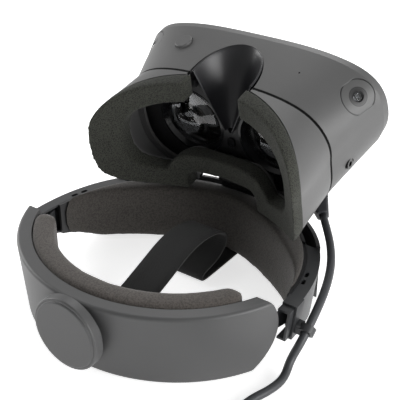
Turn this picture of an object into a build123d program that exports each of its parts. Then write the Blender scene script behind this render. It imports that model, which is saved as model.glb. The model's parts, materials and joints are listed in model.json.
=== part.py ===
"""Tethered virtual-reality headset with a rigid halo band, lying on the top of its halo.

Frame: +Y from the wearer's head towards the visor, +X towards the wearer's left, +Z up from the table
(the headset lies upside down, so +Z is the wearer's down). Millimetres.
"""

import os
from math import cos, pi, radians, sin, sqrt, tan

from build123d import *

# ---------------------------------------------------------------- driving dimensions: halo
RING_Y = -7.6  # Y of the halo's own centre, so that the whole headset is centred on the origin
CRADLE_HALF_WIDTH, CRADLE_DEPTH = 97.5, 94.2  # half ellipse of the rear cradle
CRADLE_AXIS_Y = 3.0
HALO_HALF_WIDTH, HALO_FRONT_Y = 96.9, 84.0  # superellipse of the arms and the forehead end
HALO_AXIS_Y, HALO_POWER = -21.0, 2.2
HALO_WALL = 2.2
ARM_BOTTOM, ARM_TOP = 3.0, 36.0
ARM_WALL = 1.4
ARM_LEAN = 4.0  # how much the arm's outer wall leans in towards the table
ARM_RISE_Y, ARM_TAIL_Y, ARM_TAIL_BOTTOM = 26.0, -12.0, 15.5  # the arm gets lower towards its end
ARM_DEPTH = 10.0
PARTING = 0.4  # gap between neighbouring covers
FRAME_INSETS, FRAME_BOTTOM, FRAME_END_Y = (6.8, 7.9), 18.4, 25.0
ARM_END_Y = -22.0
LINER_END_Y = -8.0
COVER_END_Y = 44.0  # where the front cover gives way to the side arms
FRONT_TOP = 37.5
PAD_BOTTOM, PAD_TOP, PAD_END_Y = 3.0, 38.8, -5.0
SPEAKER_SLOTS_Y = (8.0, 15.5)
BAND_INSET, BAND_THICKNESS = 5.2, 1.4
BAND_LOW, BAND_HIGH = 22.0, 32.5
BAND_ROOT_Y = -10.0
SHOULDER_LOW, SHOULDER_HIGH = 15.9, 36.9  # band beside the rack, tall enough for both racks
BAND_TURN_Y, RACK_HALF = -55.0, 22.0
STRAP_WIDTH, STRAP_THICKNESS = 25.0, 1.8
STRAP_PATH = [  # Y and Z of its middle, in the halo's own axes
    (-74.8, 11.0), (-40.0, 15.0), (4.0, 31.5), (31.0, 29.0), (43.0, 22.5), (42.5, 14.0), (33.0, 9.0),
    (20.5, 6.2), (15.5, 5.4), (15.5, 1.0), (74.8, 1.0),
]
STRAP_RADII = [60.0, 30.0, 14.0, 5.0, 4.5, 14.0, 5.0, 2.0, 2.0]
SCREW_RADIUS, SCREW_HEAD = 1.2, 2.3

# ---------------------------------------------------------------- rear cradle and knob
REAR_HEIGHT = 46.4
REAR_TAPER = 3.0  # how much the rear housing draws in at the table
REAR_WALL = 2.4
REAR_LIP = 9.0
REAR_END_Y = -33.0
REAR_END_BULGE, REAR_END_FOOT = 7.5, 9.0  # its ends bow forward, and draw back at the table
KNOB_RADIUS, KNOB_Z = 22.5, 26.4
KNOB_FACE_Y, KNOB_BACK_Y = -98.8, -92.1
GRIP_THICKNESS = 1.6
BOSS_RADIUS, BOSS_FACE_Y = 18.5, -91.7
BUSH_RADIUS = 5.5
SHAFT_RADIUS, SHAFT_IN_CAP = 3.0, 3.5
RUNNING_GAP = 0.05
PINION_FRONT_Y, PINION_BACK_Y = -86.3, -84.2
REAR_EDGE = 2.0  # rounding of the rear housing's edges
PLATE_BOTTOM, PILLAR_HEIGHT = 4.0, 8.6
PINION_RADIUS, PINION_TEETH = 6.0, 12
TOOTH_DEPTH, TOOTH_WIDTH = 1.2, 1.3

# ---------------------------------------------------------------- visor, in its own axes
VISOR_PITCH = 12.8  # degrees that the visor looks up from the table
SEAM_Y, SEAM_Z = 62.3, 81.6  # centre of the seam between shell and facial interface
SEAM_HALF_WIDTH, SEAM_LOW, SEAM_HIGH = 74.6, -41.0, 45.6
NOSE_HALF_WIDTH, NOSE_LOW, NOSE_HIGH = 89.2, -21.4, 52.0  # outline FRONT_DEPTH ahead of the seam
FRONT_DEPTH = 44.4
COVER_START = 41.0
VISOR_WALL = 2.2
RIM_HALF_WIDTH, RIM_LOW, RIM_HIGH = 76.0, -40.0, 42.0  # facial interface where the foam sits
RIM_BACK = 56.0
FACE_RADIUS = 94.5
FACE_CENTRE = -95.5  # centre of the arc of the face, ahead of the seam
FOAM_THICKNESS, FOAM_WIDTH = 11.0, 14.0
NOSE_GAP = 20.0  # half width of the gap in the foam for the nose
CHANNEL_HALF, CHANNEL_ROOF = 27.0, -25.0  # recess that the bracket runs in
SLOT_FROM, SLOT_TO = 2.5, 29.5  # slot in the recess's roof for the rail's neck
SEAM_GAP = 2.2
GASKET_INSET, MOUNT_INSET, MOUNT_WIDTH = 0.5, 1.7, 6.0
FLANGE_THICKNESS = 1.6
COVER_FRONT = 51.0
FRAME_AT, FRAME_THICKNESS = 3.0, 2.0
CUP_RADIUS = 25.0
BRACKET_TOP, BRACKET_PLATE, BRACKET_HALF = -26.0, 3.0, 14.5
RAIL_FROM, RAIL_TO, RAIL_LOW, RAIL_HIGH = 16.0, 28.0, -22.3, -18.8
RAIL_SCREWS = [(0.0, 19.0), (0.0, 25.0)]
FOOT_SCREWS = [(-8.0, 20.0), (8.0, 20.0), (-8.0, 30.0), (8.0, 30.0)]
VISOR_SCREWS = [(-70.2, 9.0), (70.2, 9.0), (-41.0, -29.5), (41.0, -29.5)]
FLAP_LOW, FLAP_HIGH, FLAP_TOP = 6.0, 47.0, 52.0
FLAP_THICKNESS = 1.2
CAMERA_WINDOW, CAMERA_BARREL, CAMERA_LENS = 11.2, 5.6, 2.6
FRONT_CAMERAS = [(-58.0, 32.0), (58.0, 32.0), (0.0, 0.0)]
FRONT_CAMERA_RADIUS, FRONT_LENS_RADIUS = 5.0, 3.2
MICROPHONE_PORT = 0.6
LENS_X, LENS_UP, LENS_FORWARD, LENS_RADIUS = 31.0, 3.0, 8.0, 21.5
SIDE_CAMERA = (77.3, 29.8, 34.7)
SIDE_CAMERA_NORMAL = (0.677, -0.336, 0.655)
BUTTON = (-45.0, 24.7, 46.8)
BUTTON_NORMAL = (-0.162, -0.142, 0.977)
BUTTON_RADIUS, BUTTON_HEIGHT = 5.8, 1.7
JACK = (79.3, 14.0, -4.4)
JACK_BORE, JACK_DEPTH, JACK_BODY = 1.8, 14.0, 3.5

# ---------------------------------------------------------------- cable
CABLE_D = 5.0
CABLE_LENGTH = 5000.0
CABLE_ROUTE = [  # from the gland on the visor, through the clip, to the coil (halo's own axes)
    (70.0, 64.0, 47.0), (77.0, 56.0, 44.5), (86.5, 44.0, 41.0), (94.5, 30.0, 37.5), (100.0, 13.5, 33.0),
    (102.8, -3.5, 27.0), (103.1, -19.0, 17.4), (100.6, -26.0, 8.0), (102.8, -35.5, 2.8),
    (101.2, -47.5, 2.5), (96.4, -60.0, 2.5), (94.9, -74.5, 2.5), (96.0, -90.0, 2.5), (96.0, -106.0, 2.5),
]
COIL_CENTRE = (141.0, -132.0)
COIL_MID_RADIUS, COIL_ACROSS, COIL_HIGH = 32.5, 6, 4  # turns side by side and one on another
LEAD_LENGTH, PLUG_LEAD = 26.0, 36.0
TIE_THICKNESS, TIE_ARC = 1.2, 24.0
PLUG_WIDTH, PLUG_LENGTH, PLUG_HEIGHT = 18.0, 34.0, 9.0
GLAND_LENGTH = 15.0
CLIP_CENTRE, CLIP_DIRECTION = (102.98, -12.6, 21.36), (0.0165, -0.85, -0.5266)
CLIP_RING_RADIUS, CLIP_RING_HALF = 4.6, 2.2
CLIP_Y = (-17.0, -8.0)

os.makedirs("parts", exist_ok=True)
PITCH = radians(VISOR_PITCH)
FORWARD = Vector(0, cos(PITCH), sin(PITCH))
UPWARD = Vector(0, -sin(PITCH), cos(PITCH))
SIDEWARD = Vector(1, 0, 0)
SEAM_CENTRE = Vector(0, RING_Y + SEAM_Y, SEAM_Z)
SEAM = Plane(origin=SEAM_CENTRE, x_dir=(1, 0, 0), z_dir=FORWARD * -1)
GROUND = Plane(origin=(0, RING_Y, 0))
LENGTHWISE = Plane(origin=(0, RING_Y, 0), x_dir=(0, 1, 0), z_dir=(1, 0, 0))  # local x is Y, local y is Z
SIDES = (("left", 1), ("right", -1))
REACH = 150.0  # larger than the headset's half size
ON_PLANE = (Align.CENTER, Align.CENTER, Align.MAX)
ON_PLANE_UP = (Align.CENTER, Align.CENTER, Align.MIN)


# ---------------------------------------------------------------- placing
def at_visor(x, forward, up):
    """A point given in the visor's own axes."""
    return SEAM_CENTRE + SIDEWARD * x + FORWARD * forward + UPWARD * up


def seam_plane(forward):
    """Plane across the visor; local x is +X and local y is the visor's up."""
    return SEAM.offset(-forward)


def plan_plane(up):
    """Plane level with the visor; local x is +X and local y is forward."""
    return Plane(origin=at_visor(0, 0, up), x_dir=(1, 0, 0), z_dir=UPWARD)


def facing_plane(x, forward, up, normal):
    """Plane at a visor point, with its normal given in the visor's axes (x, forward, up)."""
    direction = SIDEWARD * normal[0] + FORWARD * normal[1] + UPWARD * normal[2]
    return Plane(origin=at_visor(x, forward, up), z_dir=direction)


def ring_point(x, y, z):
    """A point given in the halo's own axes."""
    return Vector(x, RING_Y + y, z)


def finish(name, builder):
    builder.part.label = name
    export_step(builder.part, f"parts/{name}.step")


# ---------------------------------------------------------------- outlines
def cradle_outline(inset):
    """Ellipse that the rear cradle follows, `inset` inside its outer surface."""
    with BuildSketch(mode=Mode.PRIVATE) as outline:
        with Locations((0, CRADLE_AXIS_Y)):
            Ellipse(CRADLE_HALF_WIDTH - inset, CRADLE_DEPTH - inset)
    return outline.sketch


def halo_outline(inset):
    """Closed outline that the arms and the forehead end follow, `inset` inside its outer line."""
    return superellipse(HALO_HALF_WIDTH, 2 * HALO_AXIS_Y - HALO_FRONT_Y, HALO_FRONT_Y, HALO_POWER, -inset)


def strip_between(outer, inner, y_from, y_to, x_from, x_to):
    """The strip between two outlines, inside a rectangle."""
    with BuildSketch(mode=Mode.PRIVATE) as strip:
        add(outer)
        add(inner, mode=Mode.SUBTRACT)
        with Locations(((x_from + x_to) / 2, (y_from + y_to) / 2)):
            Rectangle(x_to - x_from, y_to - y_from, mode=Mode.INTERSECT)
    return strip.sketch


def cradle_strip(outer_inset, inner_inset, y_from=-REACH, y_to=REACH, x_from=-REACH, x_to=REACH):
    """Strip of the rear cradle's plan."""
    outer, inner = cradle_outline(outer_inset), cradle_outline(inner_inset)
    return strip_between(outer, inner, y_from, y_to, x_from, x_to)


def halo_strip(outer_inset, inner_inset, y_from=-REACH, y_to=REACH, x_from=-REACH, x_to=REACH):
    """Strip of the halo's plan."""
    outer, inner = halo_outline(outer_inset), halo_outline(inner_inset)
    return strip_between(outer, inner, y_from, y_to, x_from, x_to)


def one_side(side):
    """The X range of one half of the halo."""
    return {"x_from": min(0, side * REACH), "x_to": max(0, side * REACH)}


def rear_point(x, inset):
    """Point of the rear cradle's plan at `x`, `inset` inside its outer surface."""
    width, depth = CRADLE_HALF_WIDTH - inset, CRADLE_DEPTH - inset
    return (x, CRADLE_AXIS_Y - depth * sqrt(1 - (x / width) ** 2))


def superellipse(half_width, low, high, power, grow=0.0):
    """Closed superellipse; all of them have the same points, so that any two loft cleanly."""
    count = 32
    width = half_width + grow
    height = (high - low) / 2 + grow
    points = []
    for i in range(count):
        turn = 2 * pi * (i + 0.5) / count
        reach = (abs(cos(turn) / width) ** power + abs(sin(turn) / height) ** power) ** (-1 / power)
        points.append((reach * cos(turn), (low + high) / 2 + reach * sin(turn)))
    with BuildSketch(mode=Mode.PRIVATE) as outline:
        with BuildLine():
            Spline(*points, periodic=True)
        make_face()
    return outline.sketch


def visor_section(forward, grow=0.0):
    """The visor's outline at a distance forward of its seam."""
    share = forward / FRONT_DEPTH
    return superellipse(
        SEAM_HALF_WIDTH + (NOSE_HALF_WIDTH - SEAM_HALF_WIDTH) * share,
        SEAM_LOW + (NOSE_LOW - SEAM_LOW) * share,
        SEAM_HIGH + (NOSE_HIGH - SEAM_HIGH) * share,
        3.0, grow,
    )


def rim_section(grow=0.0):
    """Outline of the facial interface where the foam sits."""
    return superellipse(RIM_HALF_WIDTH, RIM_LOW, RIM_HIGH, 3.6, grow)


def channel_section(grow=0.0):
    """The recess under the visor, open below, that its bracket runs in."""
    height = 60.0
    with BuildSketch(mode=Mode.PRIVATE) as channel:
        with Locations((0, CHANNEL_ROOF + grow - height / 2)):
            RectangleRounded(2 * (CHANNEL_HALF + grow), height, 6 + grow)
    return channel.sketch


REAR_SCREWS = [rear_point(x, 7.7) for x in (-72.0, -38.0, 38.0, 72.0)]


# ---------------------------------------------------------------- halo
def halo_front_cover():
    """Outer cover of the forehead end, with the flat that the headset lies on."""
    lip = halo_strip(0, 8, COVER_END_Y)
    wall = halo_strip(0, HALO_WALL, COVER_END_Y)
    with BuildPart() as cover:
        with BuildSketch(GROUND):
            add(lip)
        extrude(amount=HALO_WALL)
        with BuildSketch(GROUND):
            add(wall)
        extrude(amount=FRONT_TOP)
    finish("halo_front_cover", cover)


def halo_frame():
    """Stiff strip that the covers, the pad carrier and the visor bracket are screwed to."""
    strip = halo_strip(*FRAME_INSETS, FRAME_END_Y)
    with BuildPart() as frame:
        with BuildSketch(GROUND.offset(FRAME_BOTTOM)):
            add(strip)
        extrude(amount=33 - FRAME_BOTTOM)
        with BuildSketch(Plane(origin=ring_point(0, COVER_END_Y, 0), x_dir=(1, 0, 0), z_dir=(0, -1, 0))):
            with Locations(*FOOT_SCREWS):
                Circle(SCREW_RADIUS)
        extrude(amount=COVER_END_Y - HALO_FRONT_Y, mode=Mode.SUBTRACT)
    finish("halo_frame", frame)


def arm_profile(margin):
    """Side view of an arm, `margin` inside its edges; its lower edge rises towards its end."""
    low, tail, top = ARM_BOTTOM + margin, ARM_TAIL_BOTTOM + margin, ARM_TOP - margin
    with BuildSketch(LENGTHWISE, mode=Mode.PRIVATE) as profile:
        with BuildLine():
            Polyline((-REACH, tail), (ARM_TAIL_Y, tail), (ARM_RISE_Y, low), (REACH, low), (REACH, top),
                     (-REACH, top), close=True)
        make_face()
    return profile.sketch


def arm_block(side, inset, margin, y_from, y_to):
    """Solid inside an arm's leaning outer surface, within its side view."""
    profile = arm_profile(margin)
    with BuildPart() as block:
        for z, lean in ((ARM_BOTTOM - 3, ARM_LEAN), (ARM_TOP + 3, 0)):
            with BuildSketch(GROUND.offset(z)):
                add(halo_outline(inset + lean))
        loft()
        add(extrude(profile, amount=side * REACH, dir=(1, 0, 0), mode=Mode.PRIVATE), mode=Mode.INTERSECT)
        with Locations(ring_point(0, (y_from + y_to) / 2, ARM_TOP / 2)):
            Box(2 * REACH, y_to - y_from, REACH, mode=Mode.INTERSECT)
    return block.part


def head_side(inset):
    """Everything inside the halo's plan at this inset, from top to bottom."""
    with BuildPart() as core:
        with BuildSketch(GROUND.offset(-REACH)):
            add(halo_outline(inset))
        extrude(amount=2 * REACH)
    return core.part


def arm_shell(name, side):
    """Side arm: a curved channel open towards the head, with two speaker slots in its edge."""
    slot_x = side * (HALO_HALF_WIDTH - 5.6)
    hollow = arm_block(side, ARM_WALL, ARM_WALL, ARM_END_Y - 5, COVER_END_Y + 5)
    with BuildPart() as shell:
        add(arm_block(side, 0, 0, ARM_END_Y, COVER_END_Y - PARTING))
        add(hollow, mode=Mode.SUBTRACT)
        add(head_side(8), mode=Mode.SUBTRACT)
        with BuildSketch(GROUND.offset(ARM_TOP + 1)):
            for y in SPEAKER_SLOTS_Y:
                with Locations((slot_x - side * (y - HALO_AXIS_Y) ** 2 / 260, y)):
                    SlotOverall(5.0, 2.4, rotation=90 + side * 12)
        extrude(amount=-ARM_WALL - 2, mode=Mode.SUBTRACT)
    finish(name, shell)


def arm_liner(name, side):
    """Plate that closes the side arm towards the head."""
    profile = arm_profile(0)
    plate = halo_strip(8.2, ARM_DEPTH, LINER_END_Y, COVER_END_Y - PARTING, **one_side(side))
    with BuildPart() as liner:
        with BuildSketch(GROUND.offset(ARM_BOTTOM)):
            add(plate)
        extrude(amount=ARM_TOP - ARM_BOTTOM)
        add(extrude(profile, amount=side * REACH, dir=(1, 0, 0), mode=Mode.PRIVATE), mode=Mode.INTERSECT)
    finish(name, liner)


def forehead_pad_carrier():
    plate = halo_strip(8.2, ARM_DEPTH, COVER_END_Y)
    with BuildPart() as carrier:
        with BuildSketch(GROUND.offset(HALO_WALL + 0.3)):
            add(plate)
        extrude(amount=FRONT_TOP - HALO_WALL - 0.3)
    finish("forehead_pad_carrier", carrier)


def speaker(name, side):
    """Curved flat driver with its chamber, just inside the arm's outer wall."""
    middle = sum(SPEAKER_SLOTS_Y) / 2
    chamber = halo_strip(5.2, 7.9, middle - 9, middle + 9, **one_side(side))
    with BuildPart() as driver:
        with BuildSketch(GROUND.offset(22.5)):
            add(chamber)
        extrude(amount=10.5)
    finish(name, driver)


def pad_section(lean):
    """Plan of the forehead pad at one level; `lean` moves its inner edge towards the front."""
    tip_x, tip_y = 85.8, PAD_END_Y
    left_half = [
        (tip_x - 2.2, tip_y + 9), (68.0, 23 + 0.4 * lean), (51.0, 35 + 0.7 * lean), (28.0, 47 + 0.9 * lean),
    ]
    right_half = [(-x, y) for x, y in reversed(left_half)]
    with BuildSketch(mode=Mode.PRIVATE) as section:
        add(halo_outline(ARM_DEPTH + 0.3))
        with BuildLine():
            Spline((tip_x - 0.8, tip_y), *left_half, (0, 54 + lean), *right_half, (0.8 - tip_x, tip_y))
            Polyline((0.8 - tip_x, tip_y), (-REACH, tip_y), (-REACH, -REACH), (REACH, -REACH),
                     (REACH, tip_y), (tip_x - 0.8, tip_y))
        make_face(mode=Mode.SUBTRACT)
    return section.sketch


def forehead_pad():
    """Cushion at the forehead, reaching back along both arms to rounded ends."""
    low, high = pad_section(0), pad_section(9.5)
    with BuildPart() as pad:
        with BuildSketch(GROUND.offset(PAD_BOTTOM)):
            add(low)
        with BuildSketch(GROUND.offset(PAD_TOP)):
            add(high)
        loft()
        with BuildSketch(LENGTHWISE):
            with BuildLine():
                FilletPolyline((REACH, PAD_BOTTOM), (PAD_END_Y + 24, PAD_BOTTOM), (PAD_END_Y, 12.5),
                               (PAD_END_Y, PAD_TOP), (REACH, PAD_TOP), radius=10)
                Line((REACH, PAD_TOP), (REACH, PAD_BOTTOM))
            make_face()
        extrude(amount=REACH, both=True, mode=Mode.INTERSECT)
    finish("forehead_pad", pad)


def flex_band(name, side):
    """Bendable band from the arm into the rear cradle, ending in a rack that the pinion drives."""
    insets = (BAND_INSET, BAND_INSET + BAND_THICKNESS)
    strap = cradle_strip(*insets, BAND_TURN_Y, BAND_ROOT_Y, **one_side(side))
    shoulder_x = sorted((side * RACK_HALF, side * REACH))
    shoulder = cradle_strip(*insets, -REACH, BAND_TURN_Y, *shoulder_x)
    rack = cradle_strip(*insets, -REACH, BAND_TURN_Y, -RACK_HALF, RACK_HALF)
    near = KNOB_Z + side * (PINION_RADIUS + 0.9)
    low, high = sorted((near, near + side * 3.6))
    pitch = 2 * pi * PINION_RADIUS / PINION_TEETH
    with BuildPart() as band:
        with BuildSketch(GROUND.offset(BAND_LOW)):
            add(strap)
        extrude(amount=BAND_HIGH - BAND_LOW)
        with BuildSketch(GROUND.offset(SHOULDER_LOW)):
            add(shoulder)
        extrude(amount=SHOULDER_HIGH - SHOULDER_LOW)
        with BuildSketch(GROUND.offset(low)):
            add(rack)
        extrude(amount=high - low)
        for i in range(-5, 5):
            x = (i + 0.5) * pitch
            y = rear_point(x, BAND_INSET + BAND_THICKNESS / 2)[1]
            with Locations(ring_point(x, y, near - side * 0.7)):
                Box(1.1, BAND_THICKNESS - 0.3, 1.6)
    finish(name, band)


def screw(plane, places, head_radius, head_height, shank_radius, length):
    """Identical screws that enter along the plane's normal; the plane is the heads' outer face."""
    with BuildPart(plane) as screws:
        with Locations(*[(x, y, 0) for x, y in places]):
            Cylinder(head_radius, head_height, align=ON_PLANE)
            Cylinder(shank_radius, length, align=ON_PLANE)
    return screws.part


def visor_bracket():
    """Foot inside the halo's cover, riser, and the plate that carries the slide rail."""
    def side_point(forward, up):
        point = at_visor(0, forward, up)
        return (point.Y - RING_Y, point.Z)

    low = BRACKET_TOP - BRACKET_PLATE
    foot_back, foot_front = 77.7, 80.1
    riser_back, riser_front = 73.0, 84.0
    with BuildPart() as bracket:
        with BuildSketch(LENGTHWISE):
            with BuildLine():
                Polyline(
                    (foot_back, 14), (foot_front, 14), (foot_front, 38.4), (riser_front, 42),
                    side_point(15.7, low), side_point(30, low), side_point(30, BRACKET_TOP),
                    side_point(2, BRACKET_TOP), side_point(2, low), (riser_back, 53.6),
                    (riser_back, 42), (foot_back, 38.4), close=True,
                )
            make_face()
        extrude(amount=BRACKET_HALF, both=True)
        fillet(bracket.edges().filter_by(Axis.X).filter_by_position(Axis.Z, 41, 43), 2)
        with BuildSketch(plan_plane(BRACKET_TOP)):
            with Locations(*RAIL_SCREWS):
                Circle(SCREW_RADIUS)
        extrude(amount=-BRACKET_PLATE, mode=Mode.SUBTRACT)
        with BuildSketch(Plane(origin=ring_point(0, foot_back, 0), x_dir=(1, 0, 0), z_dir=(0, -1, 0))):
            with Locations(*FOOT_SCREWS):
                Circle(SCREW_RADIUS)
        extrude(amount=-4, mode=Mode.SUBTRACT)
    finish("visor_bracket", bracket)


def slide_rail():
    """T-shaped rail on the bracket; its head runs inside the visor's guide."""
    with BuildPart() as rail:
        with BuildSketch(seam_plane(RAIL_FROM)):
            with Locations((0, (BRACKET_TOP + RAIL_LOW) / 2)):
                Rectangle(7, RAIL_LOW - BRACKET_TOP)
            with Locations((0, (RAIL_LOW + RAIL_HIGH) / 2)):
                RectangleRounded(18.6, RAIL_HIGH - RAIL_LOW, 1)
        extrude(amount=-(RAIL_TO - RAIL_FROM))
        with BuildSketch(plan_plane(RAIL_HIGH)):
            with Locations(*RAIL_SCREWS):
                Circle(SCREW_RADIUS)
        extrude(amount=-10, mode=Mode.SUBTRACT)
    finish("slide_rail", rail)


def bracket_screws():
    foot = Plane(origin=ring_point(0, 81.2, 0), x_dir=(1, 0, 0), z_dir=(0, 1, 0))
    under = Plane(origin=at_visor(0, 0, BRACKET_TOP - BRACKET_PLATE - 1.1), x_dir=(1, 0, 0),
                  z_dir=UPWARD * -1)
    with BuildPart() as screws:
        add(screw(foot, [(x, -z) for x, z in FOOT_SCREWS], 2.4, 1.1, SCREW_RADIUS, 4.6))
        add(screw(under, [(x, -f) for x, f in RAIL_SCREWS], 2.4, 1.1, SCREW_RADIUS, 9.0))
    finish("bracket_screws", screws)


def top_strap():
    """Webbing over the wearer's crown, lying slack here and folded back on itself at the front."""
    with BuildPart() as strap:
        with BuildSketch(LENGTHWISE):
            with BuildLine():
                FilletPolyline(*STRAP_PATH, radius=STRAP_RADII)
            trace(line_width=STRAP_THICKNESS)
        extrude(amount=STRAP_WIDTH / 2, both=True)
    finish("top_strap", strap)


def cable_clip():
    """Band round the left arm with a ring that holds the cable."""
    centre = ring_point(*CLIP_CENTRE)
    ring_plane = Plane(origin=centre, z_dir=CLIP_DIRECTION)
    with BuildPart() as clip:
        add(arm_block(1, -1.5, -1.5, *CLIP_Y))
        add(arm_block(1, -0.15, -0.15, CLIP_Y[0] - 5, CLIP_Y[1] + 5), mode=Mode.SUBTRACT)
        add(head_side(8), mode=Mode.SUBTRACT)
        with Locations(centre + Vector(-4.8, 0, 0)):
            Box(4.8, 6, 6)
        with BuildSketch(ring_plane):
            Circle(CLIP_RING_RADIUS)
        extrude(amount=CLIP_RING_HALF, both=True)
        with BuildSketch(ring_plane):
            Circle(CABLE_D / 2 + 0.35)
        extrude(amount=CLIP_RING_HALF + 3, both=True, mode=Mode.SUBTRACT)
    finish("cable_clip", clip)


# ---------------------------------------------------------------- rear cradle
def rear_taper(z):
    return REAR_TAPER * (1 - z / REAR_HEIGHT)


def rear_solid(inset, low, high, end_inset=0.0):
    """Solid inside the rear housing's tapered outline and its bowed ends, between two levels."""
    end = REAR_END_Y - end_inset
    with BuildPart() as solid:
        for z in (low, high):
            with BuildSketch(GROUND.offset(z)):
                add(cradle_outline(inset + rear_taper(z)))
        loft()
        with BuildSketch(LENGTHWISE):
            with BuildLine():
                Spline((end, REAR_HEIGHT + 2), (end + REAR_END_BULGE, 28), (end - REAR_END_FOOT, -2))
                Polyline((end - REAR_END_FOOT, -2), (-REACH, -2), (-REACH, REAR_HEIGHT + 2),
                         (end, REAR_HEIGHT + 2))
            make_face()
        extrude(amount=REACH, both=True, mode=Mode.INTERSECT)
    return solid.part


def rear_shell():
    hollow = rear_solid(REAR_WALL, REAR_WALL, REAR_HEIGHT - REAR_WALL, 1.2 * REAR_WALL)
    bore_plane = Plane(origin=ring_point(0, BOSS_FACE_Y, KNOB_Z), x_dir=(1, 0, 0), z_dir=(0, -1, 0))
    slot = cradle_strip(4.4, 7.8, REAR_END_Y - 12, REAR_END_Y + REAR_END_BULGE + 2)
    lips = ((-1, REAR_WALL, REAR_LIP + REAR_TAPER), (REAR_WALL, REAR_HEIGHT + 1, REAR_LIP))
    with BuildPart() as shell:
        add(rear_solid(0, 0, REAR_HEIGHT))
        rims = shell.edges().filter_by(GeomType.ELLIPSE)
        fillet(rims, REAR_EDGE)
        for low, high, inset in lips:
            with BuildSketch(GROUND.offset(low)):
                add(cradle_outline(inset))
            extrude(amount=high - low, mode=Mode.SUBTRACT)
        with BuildSketch(bore_plane):
            Circle(BOSS_RADIUS)
        extrude(amount=-6)
        add(hollow, mode=Mode.SUBTRACT)
        with BuildSketch(bore_plane):
            Circle(BUSH_RADIUS)
        extrude(amount=-12, mode=Mode.SUBTRACT)
        with BuildSketch(GROUND.offset(BAND_LOW - 1)):
            add(slot)
        extrude(amount=BAND_HIGH - BAND_LOW + 2, mode=Mode.SUBTRACT)
        with BuildSketch(GROUND):
            with Locations(*REAR_SCREWS):
                Circle(SCREW_HEAD)
        extrude(amount=1.3, mode=Mode.SUBTRACT)
        with BuildSketch(GROUND):
            with Locations(*REAR_SCREWS):
                Circle(SCREW_RADIUS)
        extrude(amount=4, mode=Mode.SUBTRACT)
    finish("rear_shell", shell)


def rear_inner_plate():
    """Plate that carries the rear pad, with pillars for the screws through the shell."""
    plate = cradle_strip(9.2, 10.2, -REACH, REAR_END_Y - REAR_END_FOOT)
    with BuildPart() as inner:
        with BuildSketch(GROUND.offset(REAR_WALL)):
            with Locations(*REAR_SCREWS):
                Circle(2.0)
        extrude(amount=PILLAR_HEIGHT)
        with BuildSketch(GROUND.offset(PLATE_BOTTOM)):
            add(plate)
        extrude(amount=REAR_HEIGHT - REAR_WALL - 0.2 - PLATE_BOTTOM)
        with BuildSketch(GROUND.offset(REAR_WALL)):
            with Locations(*REAR_SCREWS):
                Circle(SCREW_RADIUS)
        extrude(amount=PILLAR_HEIGHT - 1, mode=Mode.SUBTRACT)
    finish("rear_inner_plate", inner)


def rear_pad():
    """Cushion behind the head, with a notch where the strap is anchored."""
    plan = cradle_strip(10.4, 22, -REACH, REAR_END_Y - 1)
    with BuildPart() as pad:
        with BuildSketch(GROUND.offset(4)) as outline:
            add(plan)
            ends = outline.vertices().group_by(Axis.Y)[-1]
            fillet(ends, 4.5)
        extrude(amount=44)
        with Locations(ring_point(0, -76, 10)):
            Box(32, 20, 15, mode=Mode.SUBTRACT)
    finish("rear_pad", pad)


def knob_bearing():
    """Flanged bush that the knob's shaft turns in."""
    with BuildPart(Plane(origin=ring_point(0, BOSS_FACE_Y, KNOB_Z), z_dir=(0, 1, 0))) as bush:
        Cylinder(BUSH_RADIUS, 5.0, align=ON_PLANE_UP)
        Cylinder(SHAFT_RADIUS + RUNNING_GAP, 5.0, align=ON_PLANE_UP, mode=Mode.SUBTRACT)
    finish("knob_bearing", bush)


def rear_strap_anchor():
    """Loop on the inner plate that the strap is sewn through."""
    with BuildPart() as anchor:
        with Locations(ring_point(0, -77.3, 10.4)):
            Box(29, 4.4, 8)
            Box(26, 2.2, 12, mode=Mode.SUBTRACT)
    finish("rear_strap_anchor", anchor)


def rear_screws():
    plane = Plane(origin=(0, RING_Y, 0.2), x_dir=(1, 0, 0), z_dir=(0, 0, -1))
    with BuildPart() as screws:
        add(screw(plane, [(x, -y) for x, y in REAR_SCREWS], SCREW_HEAD - 0.1, 1.1, SCREW_RADIUS, 7.6))
    finish("rear_screws", screws)


# ---------------------------------------------------------------- knob
def knob_plane(y):
    return Plane(origin=ring_point(0, y, KNOB_Z), x_dir=(1, 0, 0), z_dir=(0, -1, 0))


def knob_cap():
    """Domed disc of the size knob, bored for its shaft."""
    depth = KNOB_BACK_Y - KNOB_FACE_Y
    with BuildPart() as cap:
        with BuildSketch(knob_plane(KNOB_BACK_Y)):
            Circle(KNOB_RADIUS - GRIP_THICKNESS)
        extrude(amount=depth)
        fillet(cap.faces().sort_by(Axis.Y)[0].edges(), 1.2)
        with BuildSketch(knob_plane(KNOB_BACK_Y)):
            Circle(SHAFT_RADIUS)
        extrude(amount=SHAFT_IN_CAP, mode=Mode.SUBTRACT)
    finish("knob_cap", cap)


def knob_grip():
    """Ring round the knob's cap that the fingers turn."""
    with BuildPart() as grip:
        with BuildSketch(knob_plane(KNOB_BACK_Y)):
            Circle(KNOB_RADIUS)
            Circle(KNOB_RADIUS - GRIP_THICKNESS, mode=Mode.SUBTRACT)
        extrude(amount=KNOB_BACK_Y - KNOB_FACE_Y - 0.8)
        outer_rim = grip.edges().filter_by(GeomType.CIRCLE).group_by(Axis.Y)[0].sort_by(Edge.length)[-1]
        fillet(outer_rim, 1.0)
    finish("knob_grip", grip)


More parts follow.
